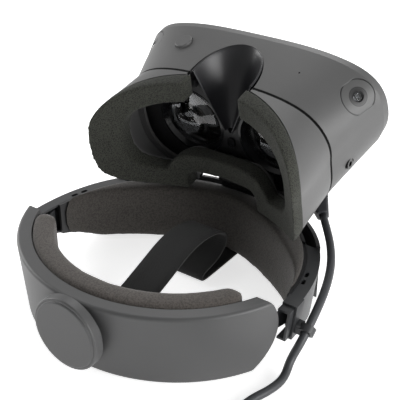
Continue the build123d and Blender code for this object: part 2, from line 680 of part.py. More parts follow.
def pinion():
    """Toothed wheel between the two racks, in one piece with the knob's shaft."""
    with BuildPart() as wheel:
        with BuildSketch(knob_plane(PINION_BACK_Y)):
            Circle(PINION_RADIUS - TOOTH_DEPTH)
            with PolarLocations(PINION_RADIUS - TOOTH_DEPTH, PINION_TEETH):
                Rectangle(2 * TOOTH_DEPTH, TOOTH_WIDTH)
        extrude(amount=PINION_BACK_Y - PINION_FRONT_Y)
        with BuildSketch(knob_plane(PINION_BACK_Y)):
            Circle(SHAFT_RADIUS)
        extrude(amount=PINION_BACK_Y - KNOB_BACK_Y + SHAFT_IN_CAP)
    finish("pinion", wheel)


# ---------------------------------------------------------------- visor
def visor_solid(grow):
    """Solid inside the visor shell's outer surface, grown or shrunk sideways."""
    with BuildPart() as solid:
        for forward in (0, COVER_START):
            with BuildSketch(seam_plane(forward)):
                add(visor_section(forward, grow))
        loft()
    return solid.part


def channel_solid(grow):
    """The bracket's recess as a long bar through the visor."""
    with BuildPart() as bar:
        with BuildSketch(seam_plane(-RIM_BACK - 5)):
            add(channel_section(grow))
        extrude(amount=-(RIM_BACK + COVER_START + 10))
    return bar.part


def nose_bar():
    """Room for the nose through the shell's upper wall, half an ellipse open to the face."""
    with BuildPart() as bar:
        with BuildSketch(plan_plane(30)):
            Ellipse(23.6, 32.6)
            with Locations((0, -40)):
                Rectangle(2 * 23.6, 80)
        extrude(amount=40)
    return bar.part


def visor_shell():
    hollow = visor_solid(-VISOR_WALL)
    with BuildPart() as room:
        add(hollow)
        add(channel_solid(VISOR_WALL), mode=Mode.SUBTRACT)
    with BuildPart() as bosses:
        with BuildSketch(seam_plane(5.2)):
            with Locations(*VISOR_SCREWS):
                Circle(4.2)
        extrude(amount=-9)
        add(visor_solid(-1), mode=Mode.INTERSECT)
        with BuildSketch(seam_plane(5.2)):
            with Locations(*VISOR_SCREWS):
                Circle(1.1)
        extrude(amount=-6, mode=Mode.SUBTRACT)
    with BuildPart() as shell:
        add(visor_solid(0))
        add(channel_solid(0), mode=Mode.SUBTRACT)
        add(room.part, mode=Mode.SUBTRACT)
        add(bosses.part)
        add(nose_bar(), mode=Mode.SUBTRACT)
        with BuildSketch(plan_plane(CHANNEL_ROOF - 1)):
            with Locations((0, (SLOT_FROM + SLOT_TO) / 2)):
                RectangleRounded(8, SLOT_TO - SLOT_FROM, 0.8)
        extrude(amount=VISOR_WALL + 2, mode=Mode.SUBTRACT)
        for _, side in SIDES:
            with BuildSketch(camera_plane(side, -2.0)):
                Circle(CAMERA_WINDOW + 0.25)
            extrude(amount=12, mode=Mode.SUBTRACT)
            with BuildSketch(camera_plane(side, -12)):
                Circle(CAMERA_BARREL + 0.3)
            extrude(amount=12, mode=Mode.SUBTRACT)
        with BuildSketch(button_plane(-8)):
            Circle(BUTTON_RADIUS + 0.3)
        extrude(amount=16, mode=Mode.SUBTRACT)
        with BuildSketch(microphone_plane(-6)):
            Circle(MICROPHONE_PORT)
        extrude(amount=10, mode=Mode.SUBTRACT)
        with BuildSketch(jack_plane(-8)):
            Circle(JACK_BODY + 0.1)
        extrude(amount=16, mode=Mode.SUBTRACT)
    finish("visor_shell", shell)


def cover_solid(shrink, back, front):
    """Domed solid under the visor's front cover."""
    with BuildPart() as solid:
        for forward, grow in ((back, 0), (COVER_START + 5, -1.2), (front - 1.5, -5), (front, -10)):
            with BuildSketch(seam_plane(forward)):
                add(visor_section(forward, grow - shrink))
        loft(ruled=True)
    return solid.part


def front_cover():
    with BuildPart() as cover:
        add(cover_solid(0, COVER_START, COVER_FRONT))
        add(cover_solid(2, COVER_START, COVER_FRONT - 2), mode=Mode.SUBTRACT)
        with BuildSketch(seam_plane(COVER_FRONT + 1)):
            with Locations(*FRONT_CAMERAS):
                Circle(FRONT_CAMERA_RADIUS + 0.1)
        extrude(amount=4, mode=Mode.SUBTRACT)
    finish("front_cover", cover)


def seam_gasket():
    """Dark strip in the joint between the shell and the facial interface."""
    with BuildPart() as gasket:
        with BuildSketch(seam_plane(-SEAM_GAP)):
            add(visor_section(0, -GASKET_INSET))
            add(visor_section(0, -MOUNT_INSET), mode=Mode.SUBTRACT)
        extrude(amount=-SEAM_GAP)
        add(channel_solid(0), mode=Mode.SUBTRACT)
        add(nose_bar(), mode=Mode.SUBTRACT)
    finish("seam_gasket", gasket)


def interface_solid(grow):
    """Solid inside the facial interface's outer surface."""
    with BuildPart() as solid:
        with BuildSketch(seam_plane(-SEAM_GAP)):
            add(visor_section(0, grow))
        with BuildSketch(seam_plane(-RIM_BACK)):
            add(rim_section(grow))
        loft()
    return solid.part


def face_solid(shift):
    """The wearer's face as a drum, moved forward by `shift`."""
    with BuildPart() as drum:
        with BuildSketch(plan_plane(-REACH / 2)):
            with Locations((0, FACE_CENTRE + shift)):
                Circle(FACE_RADIUS)
        extrude(amount=REACH)
    return drum.part


def interface_room(width):
    """The space inside the facial interface, `width` inside its outer surface and its recess."""
    with BuildPart() as room:
        add(interface_solid(-width))
        add(channel_solid(width), mode=Mode.SUBTRACT)
    return room.part


def mount_opening():
    """Opening of the ring that plugs the facial interface into the shell."""
    with BuildSketch(mode=Mode.PRIVATE) as opening:
        add(visor_section(0, -MOUNT_INSET - MOUNT_WIDTH))
        add(channel_section(3), mode=Mode.SUBTRACT)
    return opening.sketch


def facial_interface():
    """Rigid shroud between shell and foam, with a flange that the foam sits on."""
    with BuildPart() as flange:
        add(face_solid(FLANGE_THICKNESS))
        add(interface_room(FOAM_WIDTH - 1), mode=Mode.SUBTRACT)
    with BuildPart() as room:
        add(interface_room(VISOR_WALL))
        add(flange.part, mode=Mode.SUBTRACT)
    with BuildPart() as interface:
        add(interface_solid(0))
        add(channel_solid(0), mode=Mode.SUBTRACT)
        add(room.part, mode=Mode.SUBTRACT)
        add(face_solid(0), mode=Mode.SUBTRACT)
        with BuildSketch(seam_plane(-SEAM_GAP)):
            add(visor_section(0, -MOUNT_INSET))
            add(mount_opening(), mode=Mode.SUBTRACT)
            add(channel_section(0), mode=Mode.SUBTRACT)
        extrude(amount=0.1 - SEAM_GAP)
        add(nose_bar(), mode=Mode.SUBTRACT)
    finish("facial_interface", interface)


def face_foam():
    with BuildPart() as foam:
        add(interface_solid(0))
        add(channel_solid(0), mode=Mode.SUBTRACT)
        add(interface_room(FOAM_WIDTH), mode=Mode.SUBTRACT)
        add(face_solid(-FOAM_THICKNESS), mode=Mode.SUBTRACT)
        add(face_solid(-0.05), mode=Mode.INTERSECT)
        with BuildSketch(seam_plane(-RIM_BACK)):
            with Locations((0, REACH / 2)):
                Rectangle(2 * NOSE_GAP, REACH)
        extrude(amount=-2 * RIM_BACK, mode=Mode.SUBTRACT)
    finish("face_foam", foam)


def flap_section(up, shrink):
    """Half ellipse of the nose flap at one level."""
    share = (up - FLAP_LOW) / (FLAP_HIGH - FLAP_LOW)
    half, deep = 2.5 + 19 * share - shrink, 5 + 25 * share - shrink
    with BuildSketch(mode=Mode.PRIVATE) as outline:
        with BuildLine():
            EllipticalCenterArc((0, 0), half, deep, start_angle=0, arc_size=180)
            Line((-half, 0), (half, 0))
        make_face()
    return outline.sketch


def flap_solid(shrink):
    with BuildPart() as solid:
        for up in (FLAP_LOW, FLAP_TOP):
            with BuildSketch(plan_plane(up)):
                add(flap_section(up, shrink))
        loft()
    return solid.part


def nose_flap():
    """Thin flap that closes the visor round the nose."""
    with BuildPart() as flap:
        add(flap_solid(0))
        add(flap_solid(FLAP_THICKNESS), mode=Mode.SUBTRACT)
        add(visor_solid(-0.2), mode=Mode.INTERSECT)
    finish("nose_flap", flap)


def flap_clips():
    with BuildPart() as clips:
        for x in (-22.2, 22.2):
            with Locations(Plane(origin=at_visor(x, 1.2, 36), x_dir=(1, 0, 0), z_dir=UPWARD)):
                Box(3, 3, 5)
    finish("flap_clips", clips)


def inner_frame():
    """Plate across the visor that carries the lens cups, seen round them from the wearer's side."""
    with BuildPart() as frame:
        with BuildSketch(seam_plane(FRAME_AT)):
            add(visor_section(FRAME_AT, -VISOR_WALL - 1.3))
            with Locations((0, CHANNEL_ROOF + VISOR_WALL + 0.4 - 30)):
                Rectangle(2 * (CHANNEL_HALF + VISOR_WALL + 0.5), 60, mode=Mode.SUBTRACT)
            with Locations((-LENS_X, LENS_UP), (LENS_X, LENS_UP)):
                Circle(CUP_RADIUS + 0.2, mode=Mode.SUBTRACT)
            with BuildLine():
                Polyline((-1.2, 2), (1.2, 2), (26.5, 54), (-26.5, 54), close=True)
            make_face(mode=Mode.SUBTRACT)
            with Locations((0, -19.5)):
                Rectangle(24, 8, mode=Mode.SUBTRACT)
            with Locations(*VISOR_SCREWS):
                Circle(1.1, mode=Mode.SUBTRACT)
        extrude(amount=-FRAME_THICKNESS)
        for _, side in SIDES:
            with BuildSketch(camera_plane(side, -12)):
                Circle(CAMERA_BARREL + 0.3)
            extrude(amount=12, mode=Mode.SUBTRACT)
    finish("inner_frame", frame)


def around_lens(side):
    """Plane through a lens axis; local x is the distance from the axis, local y is forward."""
    return Plane(origin=at_visor(side * LENS_X, 0, LENS_UP), x_dir=(1, 0, 0), z_dir=UPWARD)


def lens_axis(side):
    return Axis(at_visor(side * LENS_X, 0, LENS_UP), FORWARD)


def lens_cup(name, side):
    """Conical cup between lens and display, with the bezel round the lens."""
    deep, wall = 28.0, 1.4
    with BuildPart() as cup:
        with BuildSketch(around_lens(side)):
            with BuildLine():
                Polyline(
                    (CUP_RADIUS, 2.6), (CUP_RADIUS, FRAME_AT + 3), (CUP_RADIUS + 1.8, deep),
                    (CUP_RADIUS + 1.8 - wall, deep), (CUP_RADIUS - wall, 12), (19.5, 12),
                    (19.5, 10.2), (LENS_RADIUS + 0.1, 10.2), (LENS_RADIUS + 0.1, 5.5),
                    (CUP_RADIUS - 1.6, 2.6), close=True,
                )
            make_face()
        revolve(axis=lens_axis(side))
    finish(name, cup)


def lens(name, side):
    """Lens domed towards the eye, on the cup's seat."""
    front_rise, back_rise, back_radius = 4.6, 5.2, 19.4
    front_curve = (LENS_RADIUS ** 2 + front_rise ** 2) / (2 * front_rise)
    back_curve = (back_radius ** 2 + back_rise ** 2) / (2 * back_rise)
    rim, seat = LENS_FORWARD, LENS_FORWARD + 2.2
    with BuildPart() as glass:
        with BuildSketch(around_lens(side)):
            with BuildLine():
                RadiusArc((0, rim - front_rise), (LENS_RADIUS, rim), -front_curve)
                Polyline((LENS_RADIUS, rim), (LENS_RADIUS, seat), (back_radius, seat))
                RadiusArc((back_radius, seat), (0, seat + back_rise), -back_curve)
                Line((0, seat + back_rise), (0, rim - front_rise))
            make_face()
        revolve(axis=lens_axis(side))
    finish(name, glass)


def visor_plate(name, forward, thickness, width, height, up, hole=None):
    """Flat board across the visor, with an opening if `hole` gives its width and height."""
    with BuildPart() as board:
        with BuildSketch(seam_plane(forward)):
            with Locations((0, up)):
                RectangleRounded(width, height, 4)
                if hole:
                    RectangleRounded(*hole, 2, mode=Mode.SUBTRACT)
        extrude(amount=-thickness)
    finish(name, board)


def camera_plane(side, depth):
    """Plane square to a side camera's axis, `depth` outside the shell's surface."""
    normal = (side * SIDE_CAMERA_NORMAL[0], SIDE_CAMERA_NORMAL[1], SIDE_CAMERA_NORMAL[2])
    x, forward, up = SIDE_CAMERA
    return facing_plane(side * x, forward, up, normal).offset(depth)


def side_camera(name, side):
    """Window that follows the shell's surface, with the barrel behind it and a cone to the lens."""
    with BuildPart() as camera:
        with BuildSketch(camera_plane(side, -2.0)):
            Circle(CAMERA_WINDOW)
        extrude(amount=12)
        add(visor_solid(-0.15), mode=Mode.INTERSECT)
        with BuildSketch(camera_plane(side, -11)):
            Circle(CAMERA_BARREL)
        extrude(amount=9.2)
        with BuildSketch(camera_plane(side, -1.6)):
            Circle(CAMERA_LENS)
        with BuildSketch(camera_plane(side, 1.0)):
            Circle(CAMERA_LENS + 2.2)
        loft(mode=Mode.SUBTRACT)
        with BuildSketch(camera_plane(side, -3.0)):
            Circle(CAMERA_LENS)
        extrude(amount=1.5, mode=Mode.SUBTRACT)
    finish(name, camera)


def front_cameras():
    with BuildPart() as cameras:
        with BuildSketch(seam_plane(COVER_FRONT + 0.3)):
            with Locations(*FRONT_CAMERAS):
                Circle(FRONT_CAMERA_RADIUS)
                Circle(FRONT_LENS_RADIUS, mode=Mode.SUBTRACT)
        extrude(amount=3.2)
        with BuildSketch(seam_plane(COVER_FRONT - 2.9)):
            with Locations(*FRONT_CAMERAS):
                Circle(FRONT_CAMERA_RADIUS)
        extrude(amount=4)
    finish("front_cameras", cameras)


def camera_lenses():
    with BuildPart() as lenses:
        for _, side in SIDES:
            with Locations(camera_plane(side, -3.0)):
                Cylinder(CAMERA_LENS - 0.05, 2.2, align=ON_PLANE_UP)
        fillet(lenses.edges().filter_by(GeomType.CIRCLE), 0.4)
        with BuildSketch(seam_plane(COVER_FRONT - 2.9)):
            with Locations(*FRONT_CAMERAS):
                Circle(FRONT_LENS_RADIUS - 0.05)
        extrude(amount=-2.7)
    finish("camera_lenses", lenses)


def jack_plane(depth):
    """Plane square to the headphone socket, `depth` outside its mouth."""
    return Plane(origin=at_visor(*JACK) + SIDEWARD * depth, z_dir=(1, 0, 0))


def headphone_jack():
    with BuildPart() as jack:
        with BuildSketch(jack_plane(0)):
            Circle(JACK_BODY)
        extrude(amount=-JACK_DEPTH - 2)
        with BuildSketch(jack_plane(0)):
            Circle(JACK_BORE)
        extrude(amount=-JACK_DEPTH, mode=Mode.SUBTRACT)
    finish("headphone_jack", jack)


def microphone_plane(depth):
    return facing_plane(42.0, 22.3, 46.9, (0.15, -0.142, 0.978)).offset(depth)


def microphone():
    with BuildPart() as capsule:
        with BuildSketch(microphone_plane(-VISOR_WALL - 2.6)):
            Circle(2.2)
        extrude(amount=1.8)
    finish("microphone", capsule)


def proximity_sensor():
    with BuildPart() as sensor:
        with BuildSketch(seam_plane(1.4)):
            with Locations((0, -5)):
                RectangleRounded(5, 7, 2)
        extrude(amount=-(FRAME_AT - 1.4))
    finish("proximity_sensor", sensor)


def slide_guide():
    """Channel inside the visor that the bracket's rail runs in."""
    low = CHANNEL_ROOF + VISOR_WALL
    with BuildPart() as guide:
        with BuildSketch(seam_plane(5.6)):
            with Locations((0, (low - 16.6) / 2)):
                Rectangle(22.4, -16.6 - low)
            with Locations((0, (low - 18.4) / 2)):
                Rectangle(19.4, -18.4 - low, mode=Mode.SUBTRACT)
        extrude(amount=-23)
    finish("slide_guide", guide)


def visor_screws():
    with BuildPart() as screws:
        add(screw(Plane(origin=at_visor(0, FRAME_AT - 1.2, 0), x_dir=(1, 0, 0), z_dir=FORWARD * -1),
                  VISOR_SCREWS, 2.2, 1.2, 1.1, 8.0))
    finish("visor_screws", screws)


def cable_gland():
    """Flared rubber block that the cable leaves the visor by."""
    way = (Vector(*CABLE_ROUTE[1]) - Vector(*CABLE_ROUTE[0])).normalized()
    mouth = Plane(origin=ring_point(*CABLE_ROUTE[0]), x_dir=UPWARD.cross(way), z_dir=way)
    with BuildPart() as gland:
        with BuildSketch(mouth.offset(-GLAND_LENGTH)):
            RectangleRounded(13, 10, 2)
        with BuildSketch(mouth):
            RectangleRounded(7.5, 7.5, 2)
        loft()
        add(visor_solid(0.1), mode=Mode.SUBTRACT)
        add(interface_solid(0.1), mode=Mode.SUBTRACT)
        with BuildSketch(seam_plane(-SEAM_GAP)):
            add(visor_section(0, 0.1))
        extrude(amount=-SEAM_GAP, mode=Mode.SUBTRACT)
    finish("cable_gland", gland)


# ---------------------------------------------------------------- release button
def button_plane(depth):
    return facing_plane(*BUTTON, BUTTON_NORMAL).offset(depth)


def release_button():
    """Button that frees the slide; a collar inside the shell keeps it in."""
    with BuildPart() as button:
        with BuildSketch(button_plane(-3.2)):
            Circle(BUTTON_RADIUS)
        extrude(amount=3.2 + BUTTON_HEIGHT)
        fillet(button.edges().filter_by(GeomType.CIRCLE).sort_by(Axis.Z)[-1], 0.5)
        with BuildSketch(button_plane(-4.6)):
            Circle(BUTTON_RADIUS + 1.2)
        extrude(amount=1.4)
    finish("release_button", button)


def button_spring():
    """Spring under the button, as the closed tube that its turns fill."""
    with BuildPart() as spring:
        with BuildSketch(button_plane(-4.7)):
            Circle(3.2)
            Circle(2.4, mode=Mode.SUBTRACT)
        extrude(amount=-3.5)
    finish("button_spring", spring)


def button_seat():
    """Cup inside the shell that guides the button and holds its spring."""
    with BuildPart() as seat:
        with BuildSketch(button_plane(-9.3)):
            Circle(BUTTON_RADIUS + 2.6)
        extrude(amount=14)
        add(visor_solid(-VISOR_WALL - 0.1), mode=Mode.INTERSECT)
        with BuildSketch(button_plane(-8.3)):
            Circle(BUTTON_RADIUS + 1.5)
        extrude(amount=14, mode=Mode.SUBTRACT)
    finish("button_seat", seat)


# ---------------------------------------------------------------- cable
def cable_radii():
    """Bend radius at each inner point of the route: as large as its two runs allow."""
    radii = []
    for back, here, ahead in zip(CABLE_ROUTE, CABLE_ROUTE[1:], CABLE_ROUTE[2:]):
        before, after = Vector(*here) - Vector(*back), Vector(*ahead) - Vector(*here)
        turn = radians(before.get_angle(after))
        radii.append(0.45 * min(before.length, after.length) / tan(turn / 2))
    return radii


def cable():
    radii = cable_radii()
    points = [ring_point(*point) for point in CABLE_ROUTE]
    start = Plane(origin=points[0], z_dir=points[1] - points[0])
    with BuildPart() as tube:
        with BuildLine() as path:
            FilletPolyline(*points, radius=radii)
        with BuildSketch(start):
            Circle(CABLE_D / 2)
        sweep(path=path.line)
    finish("cable", tube)
    along = sum(edge.length for edge in path.edges())
    print("bend radii", [round(radius, 1) for radius in radii])
    print("cable run", round(along, 1), "volume", round(tube.part.volume),
          "expected", round(pi * CABLE_D ** 2 / 4 * along))
    turns = (CABLE_LENGTH - along) / (2 * pi * COIL_MID_RADIUS)
    print("coil turns", round(turns, 1))


def cable_coil():
    """Outer shape of the coiled cable, with the straight leads in and out."""
    x, y = COIL_CENTRE
    across, high = COIL_ACROSS * CABLE_D, COIL_HIGH * CABLE_D
    lead_x = COIL_MID_RADIUS + (across - CABLE_D) / 2
    with BuildPart() as coil:
        with BuildSketch(Plane(origin=ring_point(x, y, 0), x_dir=(1, 0, 0), z_dir=(0, -1, 0))):
            with Locations((COIL_MID_RADIUS, TIE_THICKNESS + 0.1 + high / 2)):
                RectangleRounded(across, high, CABLE_D / 2)
        revolve(axis=Axis(ring_point(x, y, 0), (0, 0, 1)))
        for lead_side, length in ((-1, LEAD_LENGTH), (1, PLUG_LEAD)):
            with Locations(ring_point(x + lead_side * lead_x, y + length / 2, 4)):
                Box(CABLE_D + 1, length, 8)
    finish("cable_coil", coil)


def cable_tie():
    """Strap round the coil's section, on the side away from the leads."""
    x, y = COIL_CENTRE
    across, high = COIL_ACROSS * CABLE_D + 0.2, COIL_HIGH * CABLE_D + 0.2
    outer = (across + 2 * TIE_THICKNESS, high + 2 * TIE_THICKNESS)
    with BuildPart() as tie:
        section = Plane(origin=ring_point(x, y, 0), x_dir=(0, -1, 0), z_dir=(-1, 0, 0))
        with BuildSketch(section):
            with Locations((COIL_MID_RADIUS, TIE_THICKNESS + high / 2)):
                RectangleRounded(*outer, 2.4)
                RectangleRounded(across, high, 1.2, mode=Mode.SUBTRACT)
        revolve(axis=Axis(ring_point(x, y, 0), (0, 0, 1)), revolution_arc=TIE_ARC)
    finish("cable_tie", tie)


def cable_plug():
    """Moulded housing at the cable's far end."""
    x, y = COIL_CENTRE
    lead_x = x + COIL_MID_RADIUS + (COIL_ACROSS - 1) * CABLE_D / 2
    with BuildPart() as plug:
        with Locations(ring_point(lead_x, y + PLUG_LEAD + PLUG_LENGTH / 2, PLUG_HEIGHT / 2)):
            Box(PLUG_WIDTH, PLUG_LENGTH, PLUG_HEIGHT)
        fillet(plug.edges().filter_by(Axis.Y), 2)
    finish("cable_plug", plug)


def plug_tip():
    """Metal shell of the plug."""
    x, y = COIL_CENTRE
    lead_x = x + COIL_MID_RADIUS + (COIL_ACROSS - 1) * CABLE_D / 2
    with BuildPart() as tip:
        with BuildSketch(Plane(origin=ring_point(lead_x, y + PLUG_LEAD + PLUG_LENGTH, PLUG_HEIGHT / 2),
                               x_dir=(1, 0, 0), z_dir=(0, 1, 0))):
            Rectangle(12, 4.5)
            Rectangle(11.2, 3.7, mode=Mode.SUBTRACT)
        extrude(amount=12)
    finish("plug_tip", tip)


halo_front_cover()
halo_frame()
for word, hand in SIDES:
    arm_shell(f"arm_shell_{word}", hand)
    arm_liner(f"arm_liner_{word}", hand)
    speaker(f"speaker_{word}", hand)
    flex_band(f"flex_band_{word}", hand)
    lens_cup(f"lens_cup_{word}", hand)
    lens(f"lens_{word}", hand)
    side_camera(f"side_camera_{word}", hand)
forehead_pad_carrier()
forehead_pad()
visor_bracket()
slide_rail()
bracket_screws()
top_strap()
cable_clip()
rear_shell()
rear_inner_plate()
rear_pad()
knob_bearing()
rear_strap_anchor()
rear_screws()
knob_cap()
knob_grip()
pinion()
visor_shell()
front_cover()
seam_gasket()
facial_interface()
face_foam()
nose_flap()
flap_clips()
inner_frame()
visor_plate("display_panel", 30.5, 1.5, 112, 50, 9.5)
visor_plate("display_frame", 29.5, 4.0, 117, 55, 9.5, hole=(112.4, 50.4))
visor_plate("main_board", 35.5, 1.6, 110, 50, 10)
visor_plate("heat_spreader", 38.6, 1.2, 96, 40, 14)
front_cameras()
camera_lenses()
headphone_jack()
microphone()
proximity_sensor()
slide_guide()
visor_screws()
cable_gland()
release_button()
button_spring()
button_seat()
cable()
cable_coil()
cable_tie()
cable_plug()
plug_tip()
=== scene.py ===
"""Looks of the headset: materials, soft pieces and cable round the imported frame, floor, light and camera."""

import json
from math import cos, pi, radians, sin

import bpy
from mathutils import Matrix, Vector, noise


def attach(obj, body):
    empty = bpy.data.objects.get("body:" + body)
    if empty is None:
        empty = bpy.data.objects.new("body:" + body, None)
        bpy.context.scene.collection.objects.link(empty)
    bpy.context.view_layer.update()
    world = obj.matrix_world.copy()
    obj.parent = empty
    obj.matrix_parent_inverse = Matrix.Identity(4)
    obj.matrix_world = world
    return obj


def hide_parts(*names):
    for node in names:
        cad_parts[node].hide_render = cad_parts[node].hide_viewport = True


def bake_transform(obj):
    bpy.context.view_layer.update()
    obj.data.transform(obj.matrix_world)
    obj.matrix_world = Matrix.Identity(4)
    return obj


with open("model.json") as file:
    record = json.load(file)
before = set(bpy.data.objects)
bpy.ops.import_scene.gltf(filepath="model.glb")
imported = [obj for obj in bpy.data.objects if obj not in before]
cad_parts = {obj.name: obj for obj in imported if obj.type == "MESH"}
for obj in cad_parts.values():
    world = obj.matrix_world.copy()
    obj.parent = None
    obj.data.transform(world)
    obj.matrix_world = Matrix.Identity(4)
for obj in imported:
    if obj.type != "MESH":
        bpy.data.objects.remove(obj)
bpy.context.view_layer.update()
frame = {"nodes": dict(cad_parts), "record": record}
NODES = frame["nodes"]

RING_Y = -0.0076  # Y of the halo's own centre
VISOR_PITCH = radians(12.8)
SEAM_CENTRE = Vector((0, RING_Y + 0.0623, 0.0816))  # origin of the visor's own axes
FORWARD = Vector((0, cos(VISOR_PITCH), sin(VISOR_PITCH)))
UPWARD = Vector((0, -sin(VISOR_PITCH), cos(VISOR_PITCH)))


def at_visor(x, forward, up):
    """A point given in the visor's own axes."""
    return SEAM_CENTRE + Vector((x, 0, 0)) + FORWARD * forward + UPWARD * up


def ring_point(x, y, z):
    """A point given in the halo's own axes."""
    return Vector((x, RING_Y + y, z))


# ---------------------------------------------------------------- camera
CAMERA_AT = ring_point(0.27278, -0.35759, 0.32323)
CAMERA_TURN, CAMERA_TILT = radians(35.133), radians(29.883)
CAMERA_LENS = 77.51  # mm on a 36 mm sensor


def make_camera():
    level = Vector((sin(CAMERA_TURN), -cos(CAMERA_TURN), 0))
    back = level * cos(CAMERA_TILT) + Vector((0, 0, sin(CAMERA_TILT)))
    right = Vector((cos(CAMERA_TURN), sin(CAMERA_TURN), 0))
    up = back.cross(right)
    data = bpy.data.cameras.new("camera")
    data.lens, data.sensor_width = CAMERA_LENS, 36
    data.clip_start, data.clip_end = 0.01, 20
    camera = bpy.data.objects.new("camera", data)
    bpy.context.collection.objects.link(camera)
    turn = Matrix((right, up, back)).transposed().to_4x4()
    camera.matrix_world = Matrix.Translation(CAMERA_AT) @ turn
    bpy.context.scene.camera = camera


make_camera()


# ---------------------------------------------------------------- materials
class Shader:
    """A node material, with short helpers for the nodes that every finish uses."""

    def __init__(self, name, colour, roughness, **sockets):
        self.material = bpy.data.materials.new(name)
        self.material.use_nodes = True
        self.tree = self.material.node_tree
        self.shader = self.tree.nodes["Principled BSDF"]
        self.set("Base Color", (*colour, 1))
        self.set("Roughness", roughness)
        for socket, value in sockets.items():
            self.set(socket.replace("_", " "), value)
        self.place = self.tree.nodes.new("ShaderNodeTexCoord").outputs["Object"]

    def set(self, socket, value):
        self.shader.inputs[socket].default_value = value

    def link(self, source, target):
        self.tree.links.new(source, target)

    def noise(self, scale, detail=4.0, stretch=None):
        texture = self.tree.nodes.new("ShaderNodeTexNoise")
        texture.inputs["Scale"].default_value = scale
        texture.inputs["Detail"].default_value = detail
        self.link(self.stretched(stretch), texture.inputs["Vector"])
        return texture.outputs["Fac"]

    def voronoi(self, scale):
        texture = self.tree.nodes.new("ShaderNodeTexVoronoi")
        texture.inputs["Scale"].default_value = scale
        self.link(self.place, texture.inputs["Vector"])
        return texture.outputs["Distance"]

    def stretched(self, stretch):
        if stretch is None:
            return self.place
        mapping = self.tree.nodes.new("ShaderNodeMapping")
        mapping.inputs["Scale"].default_value = stretch
        self.link(self.place, mapping.inputs["Vector"])
        return mapping.outputs["Vector"]

    def wave(self, scale, direction):
        texture = self.tree.nodes.new("ShaderNodeTexWave")
        texture.bands_direction = direction
        texture.inputs["Scale"].default_value = scale
        self.link(self.place, texture.inputs["Vector"])
        return texture.outputs["Fac"]

    def combine(self, a, b, operation):
        node = self.tree.nodes.new("ShaderNodeMath")
        node.operation = operation
        self.link(a, node.inputs[0])
        self.link(b, node.inputs[1])
        return node.outputs["Value"]

    def ramp(self, source, *stops):
        """Colour ramp from (position, colour) stops."""
        node = self.tree.nodes.new("ShaderNodeValToRGB")
        elements = node.color_ramp.elements
        while len(elements) < len(stops):
            elements.new(0.5)
        for element, (position, colour) in zip(elements, stops):
            element.position = position
            element.color = (*colour, 1)
        self.link(source, node.inputs["Fac"])
        return node.outputs["Color"]

    def colours(self, source, *stops):
        self.link(self.ramp(source, *stops), self.shader.inputs["Base Color"])

    def gloss(self, source, low, high):
        node = self.tree.nodes.new("ShaderNodeMapRange")
        node.inputs["To Min"].default_value = low
        node.inputs["To Max"].default_value = high
        self.link(source, node.inputs["Value"])
        self.link(node.outputs["Result"], self.shader.inputs["Roughness"])

    def bump(self, source, strength, distance):
        node = self.tree.nodes.new("ShaderNodeBump")
        node.inputs["Strength"].default_value = strength
        node.inputs["Distance"].default_value = distance
        self.link(source, node.inputs["Height"])
        self.link(node.outputs["Normal"], self.shader.inputs["Normal"])


SHELL_COLOUR = (0.1, 0.1, 0.1)
WINDOW_X, WINDOW_PLACE, WINDOW_REACH = 0.0773, (0.0298, 0.0347), 0.0125


def shade(colour, factor):
    return tuple(min(1.0, part * factor) for part in colour)


def plastic(name, colour, roughness, grain=0.25, spread=0.08):
    """Moulded plastic: fine spark-eroded grain and slight unevenness of colour and gloss."""
    finish = Shader(name, colour, roughness)
    broad = finish.noise(18, 3)
    fine = finish.noise(2600, 2)
    finish.colours(broad, (0.3, shade(colour, 1 - spread)), (0.7, shade(colour, 1 + spread)))
    finish.gloss(broad, roughness - 0.05, roughness + 0.05)
    finish.bump(fine, grain, 0.0001)
    return finish.material


def felt(name, colour):
    """Short brushed fibres: mottled colour, soft bump and sheen."""
    finish = Shader(name, colour, 0.95, Sheen_Weight=0.22, Sheen_Roughness=0.45)
    fibre = finish.noise(2600, 6)
    nap = finish.noise(900, 5)
    mix = finish.combine(fibre, nap, "ADD")
    finish.colours(mix, (0.75, shade(colour, 0.7)), (1.0, colour), (1.25, shade(colour, 1.4)))
    finish.bump(mix, 0.6, 0.0003)
    return finish.material


def open_foam(name, colour):
    """Open-cell foam: dark pores and pale specks a fraction of a millimetre across."""
    finish = Shader(name, colour, 1.0, Sheen_Weight=0.04, Sheen_Roughness=0.6)
    pores = finish.voronoi(1300)
    speck = finish.noise(1700, 6)
    mix = finish.combine(pores, speck, "ADD")
    finish.colours(mix, (0.6, shade(colour, 0.45)), (0.84, colour), (1.05, shade(colour, 4.2)))
    finish.bump(mix, 0.6, 0.0003)
    return finish.material


def webbing(name, colour):
    """Woven strap: ribs across its length, crossed by the warp."""
    finish = Shader(name, colour, 0.85, Sheen_Weight=0.08)
    ribs = finish.wave(420, "Y")
    warp = finish.wave(520, "X")
    weave = finish.combine(ribs, warp, "MAXIMUM")
    finish.colours(weave, (0.1, shade(colour, 0.5)), (0.9, shade(colour, 1.5)))
    finish.bump(weave, 0.6, 0.0003)
    return finish.material


def rubber(name, colour, roughness, specular=0.5):
    finish = Shader(name, colour, roughness, Specular_IOR_Level=specular)
    broad = finish.noise(30, 3)
    finish.colours(broad, (0.3, shade(colour, 0.85)), (0.7, shade(colour, 1.2)))
    finish.gloss(broad, roughness - 0.06, roughness + 0.06)
    finish.bump(finish.noise(900, 3), 0.12, 0.0001)
    return finish.material


def metal(name, colour, roughness):
    finish = Shader(name, colour, roughness, Metallic=1.0)
    scratches = finish.noise(400, 4, stretch=(1, 12, 1))
    finish.gloss(scratches, roughness - 0.08, roughness + 0.1)
    finish.bump(scratches, 0.1, 0.0001)
    return finish.material


def glass(name, tint):
    finish = Shader(name, tint, 0.03, Transmission_Weight=1.0, IOR=1.5, Coat_Weight=1.0)
    finish.gloss(finish.noise(60, 3), 0.01, 0.05)
    return finish.material


